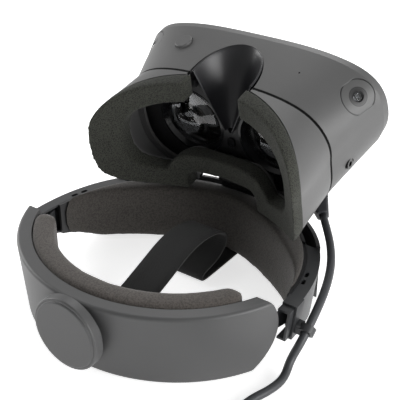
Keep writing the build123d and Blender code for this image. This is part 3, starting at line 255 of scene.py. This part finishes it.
def camera_window(name, side):
    """Moulded window round a side camera: dark line at its edge, black well and pale lens rim."""
    finish = Shader(name, SHELL_COLOUR, 0.42)
    span = finish.tree.nodes.new("ShaderNodeVectorMath")
    span.operation = "DISTANCE"
    finish.link(finish.place, span.inputs[0])
    span.inputs[1].default_value = at_visor(side * WINDOW_X, *WINDOW_PLACE)
    scaled = finish.tree.nodes.new("ShaderNodeMapRange")
    scaled.inputs["From Max"].default_value = WINDOW_REACH
    finish.link(span.outputs["Value"], scaled.inputs["Value"])
    body, dark, pale = shade(SHELL_COLOUR, 0.9), (0.006, 0.006, 0.007), (0.5, 0.5, 0.5)
    finish.colours(
        scaled.outputs["Result"], (0.0, dark), (0.19, dark), (0.21, pale), (0.235, pale), (0.25, dark),
        (0.44, shade(SHELL_COLOUR, 0.35)), (0.47, dark), (0.5, body), (0.84, body), (0.88, dark),
    )
    finish.bump(finish.noise(2600, 2), 0.15, 0.0001)
    return finish.material


def circuit_board(name):
    finish = Shader(name, (0.01, 0.08, 0.03), 0.45)
    tracks = finish.voronoi(260)
    finish.colours(tracks, (0.2, (0.3, 0.22, 0.05)), (0.26, (0.01, 0.07, 0.03)), (0.7, (0.01, 0.1, 0.04)))
    finish.bump(tracks, 0.3, 0.0003)
    return finish.material


MATERIALS = {
    "halo_plastic": plastic("halo_plastic", (0.07, 0.07, 0.071), 0.45),
    "arm_plastic": plastic("arm_plastic", (0.03, 0.031, 0.033), 0.42),
    "visor_plastic": plastic("visor_plastic", SHELL_COLOUR, 0.48),
    "black_plastic": plastic("black_plastic", (0.012, 0.012, 0.013), 0.4),
    "gloss_black": plastic("gloss_black", (0.008, 0.008, 0.009), 0.16, grain=0.02),
    "felt": felt("felt", (0.066, 0.058, 0.052)),
    # painted shade: a darker copy of the felt, for the forehead cushion that sits in shade
    "shaded_felt": felt("shaded_felt", (0.04, 0.036, 0.032)),
    "foam": open_foam("foam", (0.0085, 0.0089, 0.007)),
    "webbing": webbing("webbing", (0.009, 0.009, 0.009)),
    "hook_tape": webbing("hook_tape", (0.02, 0.02, 0.021)),
    "soft_rubber": rubber("soft_rubber", (0.034, 0.036, 0.04), 0.45),
    "flap_rubber": rubber("flap_rubber", (0.014, 0.014, 0.016), 0.36),
    "seam_rubber": rubber("seam_rubber", (0.003, 0.003, 0.003), 0.8, specular=0.1),
    "spring_band": plastic("spring_band", (0.02, 0.021, 0.023), 0.5),
    "steel": metal("steel", (0.55, 0.55, 0.56), 0.35),
    "aluminium": metal("aluminium", (0.75, 0.75, 0.76), 0.3),
    "lens_glass": glass("lens_glass", (0.9, 0.93, 0.96)),
    "display_glass": plastic("display_glass", (0.006, 0.007, 0.01), 0.12, grain=0.02),
    "board": circuit_board("board"),
    "driver": plastic("driver", (0.02, 0.02, 0.02), 0.6),
    "jack_metal": metal("jack_metal", (0.06, 0.06, 0.06), 0.3),
}
SLOTS = {entry["node"]: entry["material_slot"] for entry in frame["record"]["subparts"]}


def dress(obj, slot):
    """Gives the object the finish of one material slot."""
    obj.data.materials.clear()
    obj.data.materials.append(MATERIALS[slot])


def dress_frame():
    """Finishes for the CAD nodes: their slot's, or their own for the camera windows and the seam."""
    special = {f"side_camera_{word}": camera_window(f"camera_window_{word}", side)
               for word, side in (("left", 1), ("right", -1))}
    special["seam_gasket"] = MATERIALS["seam_rubber"]
    for name, obj in NODES.items():
        for index in range(len(obj.material_slots)):
            obj.material_slots[index].material = special.get(name, MATERIALS[SLOTS[name]])


dress_frame()


# ---------------------------------------------------------------- mesh helpers
WELD_LIMIT = 0.000002
SMOOTH_STEPS = 24
ROUGH_DEPTH, ROUGH_SCALE = 0.00007, 300
SEAM_PROUD = 0.0005


def add_object(name, data, slot):
    obj = bpy.data.objects.new(name, data)
    bpy.context.collection.objects.link(obj)
    dress(obj, slot)
    return obj


def settle(obj):
    """Turns the object's modifiers into its mesh."""
    graph = bpy.context.evaluated_depsgraph_get()
    data = bpy.data.meshes.new_from_object(obj.evaluated_get(graph))
    obj.modifiers.clear()
    obj.data = data
    for polygon in data.polygons:
        polygon.use_smooth = True


def weld(obj):
    """Joins the vertices that a CAD mesh keeps apart along its edges."""
    obj.modifiers.new("weld", "WELD").merge_threshold = WELD_LIMIT


def push(obj, name, distance):
    """Moves the surface out along its normals."""
    modifier = obj.modifiers.new(name, "DISPLACE")
    modifier.strength, modifier.mid_level = distance, 0.0


def widen_seam():
    """Lets the rubber of the visor's seam stand a little proud of the gap it fills."""
    gasket = NODES["seam_gasket"]
    weld(gasket)
    push(gasket, "wider", SEAM_PROUD)


def soft_copy(node, name, slot, body, voxel, margin, swell):
    """Cushion with the CAD solid's place and size, its edges rounded and its faces crowned.

    The margin thickens sharp rims before the remesh, so they come through it whole.
    """
    obj = add_object(name, NODES[node].data.copy(), slot)
    weld(obj)
    push(obj, "thicker", margin)
    remesh = obj.modifiers.new("remesh", "REMESH")
    remesh.mode, remesh.voxel_size = "VOXEL", voxel
    smooth = obj.modifiers.new("smooth", "SMOOTH")
    smooth.iterations, smooth.factor = SMOOTH_STEPS, 0.5
    push(obj, "fuller", swell - margin)
    settle(obj)
    dress(obj, slot)
    roughen(obj)
    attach(obj, body)
    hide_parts(node)
    return obj


def roughen(obj):
    """Moves each vertex a little along its normal by a fixed noise, as cloth over foam has."""
    normals = [vertex.normal.copy() for vertex in obj.data.vertices]
    for vertex, normal in zip(obj.data.vertices, normals):
        vertex.co += normal * ROUGH_DEPTH * noise.noise(vertex.co * ROUGH_SCALE)


def grid_mesh(name, rows, closed_across=False):
    """Mesh from rows of points; closed_across joins each row's ends."""
    count = len(rows[0])
    points = [point for row in rows for point in row]
    faces = []
    for r in range(len(rows) - 1):
        for c in range(count if closed_across else count - 1):
            n = (c + 1) % count
            faces.append((r * count + c, r * count + n, (r + 1) * count + n, (r + 1) * count + c))
    if closed_across:
        faces.append(tuple(reversed(range(count))))
        faces.append(tuple(range((len(rows) - 1) * count, len(rows) * count)))
    data = bpy.data.meshes.new(name)
    data.from_pydata([tuple(point) for point in points], [], faces)
    data.validate()
    for polygon in data.polygons:
        polygon.use_smooth = True
    return data


def route_line(points, resolution):
    """Points along the NURBS line through these control points."""
    curve = bpy.data.curves.new("route", "CURVE")
    curve.dimensions = "3D"
    curve.resolution_u = resolution
    spline = curve.splines.new("NURBS")
    spline.points.add(len(points) - 1)
    for control, point in zip(spline.points, points):
        control.co = (*point, 1)
    spline.order_u = 3
    spline.use_endpoint_u = True
    holder = bpy.data.objects.new("route", curve)
    line = bpy.data.meshes.new_from_object(holder)
    found = [vertex.co.copy() for vertex in line.vertices]
    bpy.data.objects.remove(holder)
    return found


def tube(name, line, diameter, corners, side):
    """Closed round tube along a line; side is any direction that isn't along its start."""
    rows = []
    for i, point in enumerate(line):
        along = (line[min(i + 1, len(line) - 1)] - line[max(i - 1, 0)]).normalized()
        side = (side - along * side.dot(along)).normalized()
        other = along.cross(side)
        angles = [2 * pi * k / corners for k in range(corners)]
        ring = [side * cos(angle) + other * sin(angle) for angle in angles]
        rows.append([point + spoke * diameter / 2 for spoke in ring])
    return grid_mesh(name, rows, closed_across=True)


# ---------------------------------------------------------------- cable
CABLE_D = 0.005
CABLE_ROUTE = [  # control points from the gland to the coil, in the halo's own axes
    (0.0700, 0.0640, 0.0470), (0.0770, 0.0560, 0.0445), (0.0865, 0.0440, 0.0410),
    (0.0945, 0.0300, 0.0375), (0.1000, 0.0135, 0.0330), (0.1028, -0.0035, 0.0270),
    (0.1031, -0.0190, 0.0174), (0.1006, -0.0260, 0.0080), (0.1028, -0.0355, 0.0028),
    (0.1012, -0.0475, 0.0025), (0.0964, -0.0600, 0.0025), (0.0949, -0.0745, 0.0025),
    (0.0960, -0.0900, 0.0025), (0.0960, -0.1060, 0.0025),
]
COIL_CENTRE = (0.1410, -0.1320)
COIL_ENTRY = (0.0960, -0.1200, 0.0030)
COIL_MID_RADIUS, COIL_ACROSS, COIL_HIGH = 0.0325, 6, 4
COIL_LIFT = 0.0013
COIL_TURNS = 23.5
POINTS_PER_TURN = 16
STEP_UP_SHARE = 0.2  # part of a turn in which the cable moves to the next place
PLUG_LEAD, PLUG_HEIGHT, LEAD_CREST = 0.036, 0.009, 0.0125


def coil_place(turn):
    """Distance from the coil's axis and height of the cable's middle after so many turns."""
    whole = min(int(turn), COIL_ACROSS * COIL_HIGH - 1)
    ease = max(0.0, (turn - whole - (1 - STEP_UP_SHARE)) / STEP_UP_SHARE)
    ease = ease * ease * (3 - 2 * ease)

    def place(index):
        layer, column = divmod(min(index, COIL_ACROSS * COIL_HIGH - 1), COIL_ACROSS)
        column = column if layer % 2 else COIL_ACROSS - 1 - column
        return column - (COIL_ACROSS - 1) / 2, layer

    here, ahead = place(whole), place(whole + 1)
    column = here[0] + (ahead[0] - here[0]) * ease
    layer = here[1] + (ahead[1] - here[1]) * ease
    return COIL_MID_RADIUS + column * CABLE_D, COIL_LIFT + (layer + 0.5) * CABLE_D


def coil_points():
    """Control points of the neat coil, from where the cable comes in to where the plug's lead leaves."""
    x, y = COIL_CENTRE
    points = []
    for i in range(int(COIL_TURNS * POINTS_PER_TURN) + 1):
        turn = i / POINTS_PER_TURN
        radius, height = coil_place(turn)
        reach = radius / cos(pi / POINTS_PER_TURN)
        angle = pi + 2 * pi * turn
        points.append((x + reach * cos(angle), y + reach * sin(angle), height))
    return points


def make_cable():
    x, y = COIL_CENTRE
    lead_x = x + COIL_MID_RADIUS + (COIL_ACROSS - 1) * CABLE_D / 2
    controls = CABLE_ROUTE + [COIL_ENTRY] + coil_points()
    controls += [
        (lead_x, y + PLUG_LEAD * 0.5, LEAD_CREST), (lead_x, y + PLUG_LEAD * 0.8, PLUG_HEIGHT / 2),
        (lead_x, y + PLUG_LEAD, PLUG_HEIGHT / 2),
    ]
    line = route_line([ring_point(*point) for point in controls], 4)
    skin = tube("cable_whole", line, CABLE_D, 12, Vector((0, 0, 1)))
    cable = add_object("cable_whole", skin, "soft_rubber")
    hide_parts("cable", "cable_coil")
    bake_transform(cable)


make_cable()


# ---------------------------------------------------------------- soft pieces and seam
forehead = soft_copy("forehead_pad", "forehead_cushion", "felt", "halo", 0.0015, 0.0014, 0.0005)
# the forehead cushion wears the darker copy of the felt: painted shade
dress(forehead, "shaded_felt")
soft_copy("rear_pad", "rear_cushion", "felt", "cradle", 0.0015, 0.001, 0.001)
soft_copy("face_foam", "face_cushion", "foam", "visor", 0.001, 0.0008, 0.0004)
widen_seam()

STRAP_WIDTH, STRAP_THICKNESS, STRAP_LENGTH = 0.025, 0.0016, 0.221
STRAP_EDGE = 0.0006  # width of its thinner selvedge
STRAP_PATH = [  # Y and Z of its middle, in the halo's own axes
    (-0.0748, 0.0110), (-0.060, 0.0125), (-0.040, 0.0155), (-0.018, 0.0230), (0.004, 0.0310), (0.020, 0.0318),
    (0.034, 0.0290), (0.0435, 0.0235), (0.0425, 0.0150), (0.034, 0.0096), (0.026, 0.0078), (0.0175, 0.0068),
    (0.0142, 0.0038), (0.0165, 0.0012), (0.030, 0.0010), (0.052, 0.0010), (0.0748, 0.0010),
]


def make_strap():
    line = route_line([ring_point(0, y, z) for y, z in STRAP_PATH], 10)
    half, thick = STRAP_WIDTH / 2, STRAP_THICKNESS / 2
    level = half - STRAP_EDGE
    across = (-level, -half * 0.5, 0, half * 0.5, level)
    section = [(-half, -thick * 0.5)] + [(x, -thick) for x in across] + [(half, -thick * 0.5)]
    section += [(half, thick * 0.5)] + [(x, thick) for x in reversed(across)] + [(-half, thick * 0.5)]
    rows = []
    for i, point in enumerate(line):
        along = (line[min(i + 1, len(line) - 1)] - line[max(i - 1, 0)]).normalized()
        out = Vector((1, 0, 0)).cross(along)
        rows.append([point + Vector((x, 0, 0)) + out * t for x, t in section])
    weave = grid_mesh("strap_webbing", rows, closed_across=True)
    strap = add_object("strap_webbing", weave, "webbing")
    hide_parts("top_strap")
    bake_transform(strap)


make_strap()


# ---------------------------------------------------------------- nose flap
SEAM_HALF_WIDTH, SEAM_LOW, SEAM_HIGH = 0.0746, -0.0410, 0.0456
NOSE_HALF_WIDTH, NOSE_LOW, NOSE_HIGH = 0.0892, -0.0214, 0.0520
FRONT_DEPTH = 0.0444
FLAP_LOW, FLAP_RISE = 0.006, 0.041
FLAP_HALF, FLAP_HALF_GAIN, FLAP_DEEP, FLAP_DEEP_GAIN = 0.0025, 0.019, 0.005, 0.025
FLAP_FOOT, FLAP_CLEARANCE = 0.005, 0.0006
FLAP_THICKNESS, FLAP_RIM = 0.0013, 0.0005
FLAP_COLUMNS, FLAP_STEPS = 33, 18
FLAP_TOP_GUESS, TOP_ROUNDS = 0.045, 12  # first height and repeats to find where it meets the shell


def shell_height(x, forward):
    """How far up the visor shell's outer surface lies at this place."""
    share = forward / FRONT_DEPTH
    half = SEAM_HALF_WIDTH + (NOSE_HALF_WIDTH - SEAM_HALF_WIDTH) * share
    low = SEAM_LOW + (NOSE_LOW - SEAM_LOW) * share
    high = SEAM_HIGH + (NOSE_HIGH - SEAM_HIGH) * share
    return (low + high) / 2 + (high - low) / 2 * (1 - abs(x / half) ** 3) ** (1 / 3)


def flap_point(angle, up):
    """Point of the flap's cone: half an ellipse that widens upwards."""
    share = (up - FLAP_LOW) / FLAP_RISE
    half, deep = FLAP_HALF + FLAP_HALF_GAIN * share, FLAP_DEEP + FLAP_DEEP_GAIN * share
    return half * cos(angle), deep * sin(angle)


def flap_top(angle):
    """Height at which the flap comes out just above the shell."""
    up = FLAP_TOP_GUESS
    for _ in range(TOP_ROUNDS):
        x, forward = flap_point(angle, up)
        up = shell_height(x, max(forward, 0)) + FLAP_CLEARANCE
    return up


def make_nose_flap():
    angles = [pi * c / (FLAP_COLUMNS - 1) for c in range(FLAP_COLUMNS)]
    tops = [flap_top(angle) for angle in angles]
    rows = []
    for r in range(FLAP_STEPS):
        share = r / (FLAP_STEPS - 1)
        row = []
        for angle, top in zip(angles, tops):
            up = FLAP_FOOT + (top - FLAP_FOOT) * share
            x, forward = flap_point(angle, up)
            row.append(at_visor(x, forward, up))
        rows.append(row)
    flap = add_object("nose_flap_skin", grid_mesh("nose_flap_skin", rows), "flap_rubber")
    solid = flap.modifiers.new("thickness", "SOLIDIFY")
    solid.thickness, solid.offset = FLAP_THICKNESS, 1.0
    rim = flap.modifiers.new("rim", "BEVEL")
    rim.width, rim.segments = FLAP_RIM, 3
    settle(flap)
    dress(flap, "flap_rubber")
    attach(flap, "visor")
    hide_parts("nose_flap")


make_nose_flap()


# ---------------------------------------------------------------- button spring
SPRING_CENTRE, SPRING_AXIS = Vector((-0.04396, 0.07073, 0.12678)), Vector((-0.1619, -0.3548, 0.9208))
SPRING_RADIUS, SPRING_WIRE, SPRING_HEIGHT, SPRING_TURNS = 0.0028, 0.0005, 0.0034, 2.5
SPRING_STEPS = 60


def make_button_spring():
    """Coil spring wound round the button's axis."""
    across = SPRING_AXIS.orthogonal().normalized()
    other = SPRING_AXIS.cross(across)
    reach = SPRING_HEIGHT / 2 - SPRING_WIRE / 2
    line = []
    for i in range(SPRING_STEPS + 1):
        share = i / SPRING_STEPS
        angle = 2 * pi * SPRING_TURNS * share
        spoke = across * cos(angle) + other * sin(angle)
        line.append(SPRING_CENTRE + spoke * SPRING_RADIUS + SPRING_AXIS * reach * (2 * share - 1))
    spring = add_object("spring_coil", tube("spring_coil", line, SPRING_WIRE, 8, SPRING_AXIS), "steel")
    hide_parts("button_spring")
    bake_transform(spring)


make_button_spring()


# ---------------------------------------------------------------- floor and light
HORIZON, ZENITH = (1.0, 1.0, 1.0), (0.42, 0.42, 0.42)
GRADE_FROM, GRADE_TO = 0.15, 0.85  # heights between which the surroundings darken
REAR_DIMMING, DIM_BEHIND, DIM_AHEAD = 0.3, -0.9, 0.3
FLOOR_SIZE, FLOOR_GLOW = 4.0, 0.65
LAMP_TARGET, LAMP_SIZE = (0, 0, 0.05), 0.6
LAMPS = {  # place and power
    "left": ((-1.1, -0.05, 0.45), 5.5),
    "right": ((1.1, -0.1, 0.35), 9),
    "front": ((-0.3, 0.9, 1.0), 5),
}


def make_floor():
    data = bpy.data.meshes.new("floor")
    size = FLOOR_SIZE
    corners = [(-size, -size, 0), (size, -size, 0), (size, size, 0), (-size, size, 0)]
    data.from_pydata(corners, [], [(0, 1, 2, 3)])
    floor = bpy.data.objects.new("floor", data)
    bpy.context.collection.objects.link(floor)
    finish = Shader("floor", (0.92, 0.92, 0.92), 0.8, Emission_Strength=FLOOR_GLOW)
    finish.set("Emission Color", (1, 1, 1, 1))
    finish.colours(finish.noise(2, 2), (0.3, (0.91, 0.91, 0.91)), (0.7, (0.93, 0.93, 0.93)))
    data.materials.append(finish.material)


def area_light(name, place, power):
    data = bpy.data.lights.new(name, "AREA")
    data.shape, data.size, data.energy = "SQUARE", LAMP_SIZE, power
    light = bpy.data.objects.new(name, data)
    bpy.context.collection.objects.link(light)
    light.location = place
    aim = Vector(LAMP_TARGET) - Vector(place)
    light.rotation_euler = aim.to_track_quat("-Z", "Y").to_euler()


def make_light():
    """Pale surroundings that darken overhead and to the rear, and the soft lamps."""
    world = bpy.data.worlds.new("studio")
    world.use_nodes = True
    nodes, links = world.node_tree.nodes, world.node_tree.links
    split = nodes.new("ShaderNodeSeparateXYZ")
    ramp = nodes.new("ShaderNodeValToRGB")
    for element, position, colour in zip(ramp.color_ramp.elements, (GRADE_FROM, GRADE_TO), (HORIZON, ZENITH)):
        element.position = position
        element.color = (*colour, 1)
    links.new(nodes.new("ShaderNodeTexCoord").outputs["Generated"], split.inputs[0])
    links.new(split.outputs["Z"], ramp.inputs["Fac"])
    links.new(ramp.outputs["Color"], nodes["Background"].inputs["Color"])
    dimmer = nodes.new("ShaderNodeMapRange")
    dimmer.inputs["From Min"].default_value = DIM_BEHIND
    dimmer.inputs["From Max"].default_value = DIM_AHEAD
    dimmer.inputs["To Min"].default_value = REAR_DIMMING
    links.new(split.outputs["Y"], dimmer.inputs["Value"])
    links.new(dimmer.outputs["Result"], nodes["Background"].inputs["Strength"])
    bpy.context.scene.world = world
    bpy.context.scene.view_settings.view_transform = "Standard"
    for name, (place, power) in LAMPS.items():
        area_light(name, place, power)


make_floor()
make_light()
